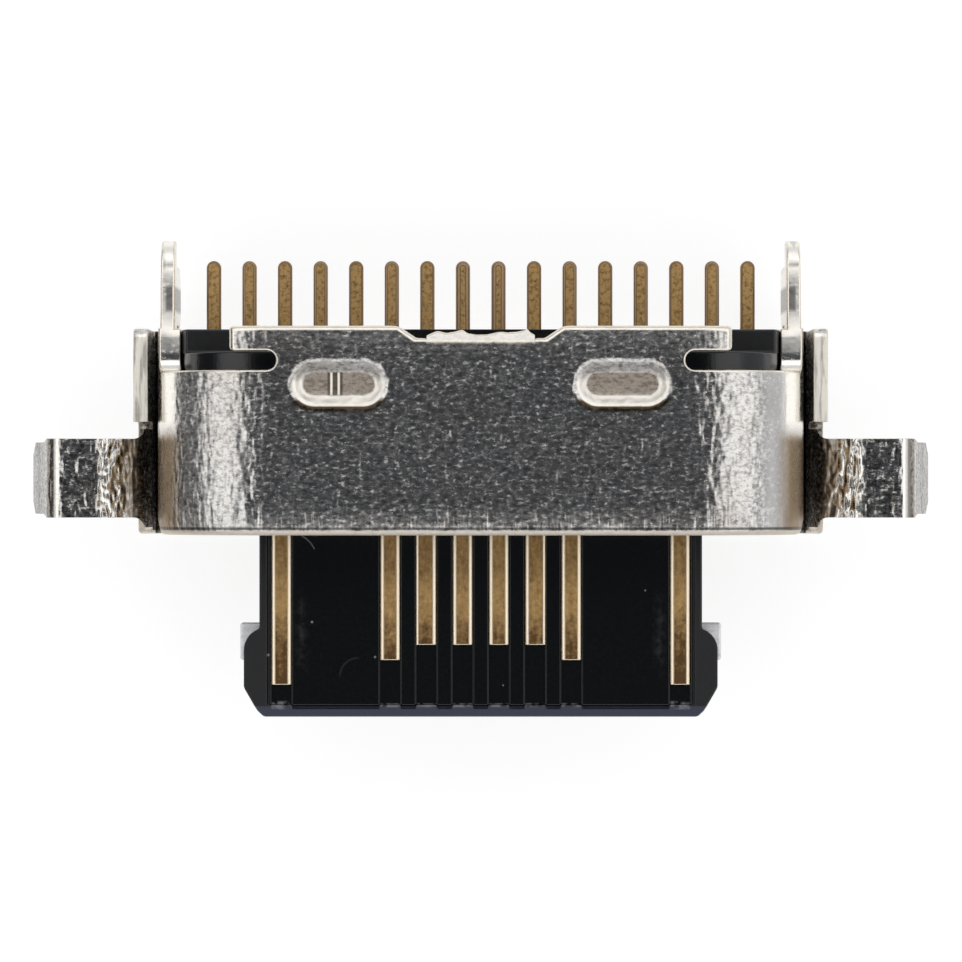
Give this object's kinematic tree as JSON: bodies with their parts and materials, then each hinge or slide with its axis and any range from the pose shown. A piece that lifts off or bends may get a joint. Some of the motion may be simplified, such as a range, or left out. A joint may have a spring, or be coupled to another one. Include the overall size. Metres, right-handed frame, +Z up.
{
  "type": "usb-c socket",
  "caption": "Sunk-mount socket with a round-ended steel shell, a bracket with two board ears and a long contact tongue in front.",
  "frame": {"origin": "underside of the bracket, midway between the two ears", "axes": "+Z up, away from the bracket's floor; the mouth and the tongue look to -Y and the solder tails leave to +Y; X runs across from ear to ear"},
  "size_m": [0.0126, 0.0066, 0.0034],
  "materials": {
    "shell_steel": "satin nickel-plated stainless steel sheet",
    "bracket_steel": "satin nickel-plated stainless steel sheet",
    "housing_plastic": "black glass-filled moulding, slightly glossy",
    "insert_plastic": "black glass-filled moulding, satin",
    "plate_steel": "bright stainless steel sheet",
    "shield_steel": "thin stainless steel sheet",
    "upper_contact_gold": "gold-plated copper alloy with sheared edges",
    "lower_contact_gold": "gold-plated copper alloy with sheared edges"
  },
  "bodies": {
    "root": {"shell": "shell_steel", "bracket": "bracket_steel", "housing": "housing_plastic", "upper_insert": "insert_plastic", "lower_insert": "insert_plastic", "middle_plate": "plate_steel", "upper_shield": "shield_steel", "lower_shield": "shield_steel", "a1_ground": "upper_contact_gold", "a4_power": "upper_contact_gold", "a5_config": "upper_contact_gold", "a6_data_plus": "upper_contact_gold", "a7_data_minus": "upper_contact_gold", "a8_sideband": "upper_contact_gold", "a9_power": "upper_contact_gold", "a12_ground": "upper_contact_gold", "b12_ground": "lower_contact_gold", "b9_power": "lower_contact_gold", "b8_sideband": "lower_contact_gold", "b7_data_minus": "lower_contact_gold", "b6_data_plus": "lower_contact_gold", "b5_config": "lower_contact_gold", "b4_power": "lower_contact_gold", "b1_ground": "lower_contact_gold"}
  },
  "joints": []
}
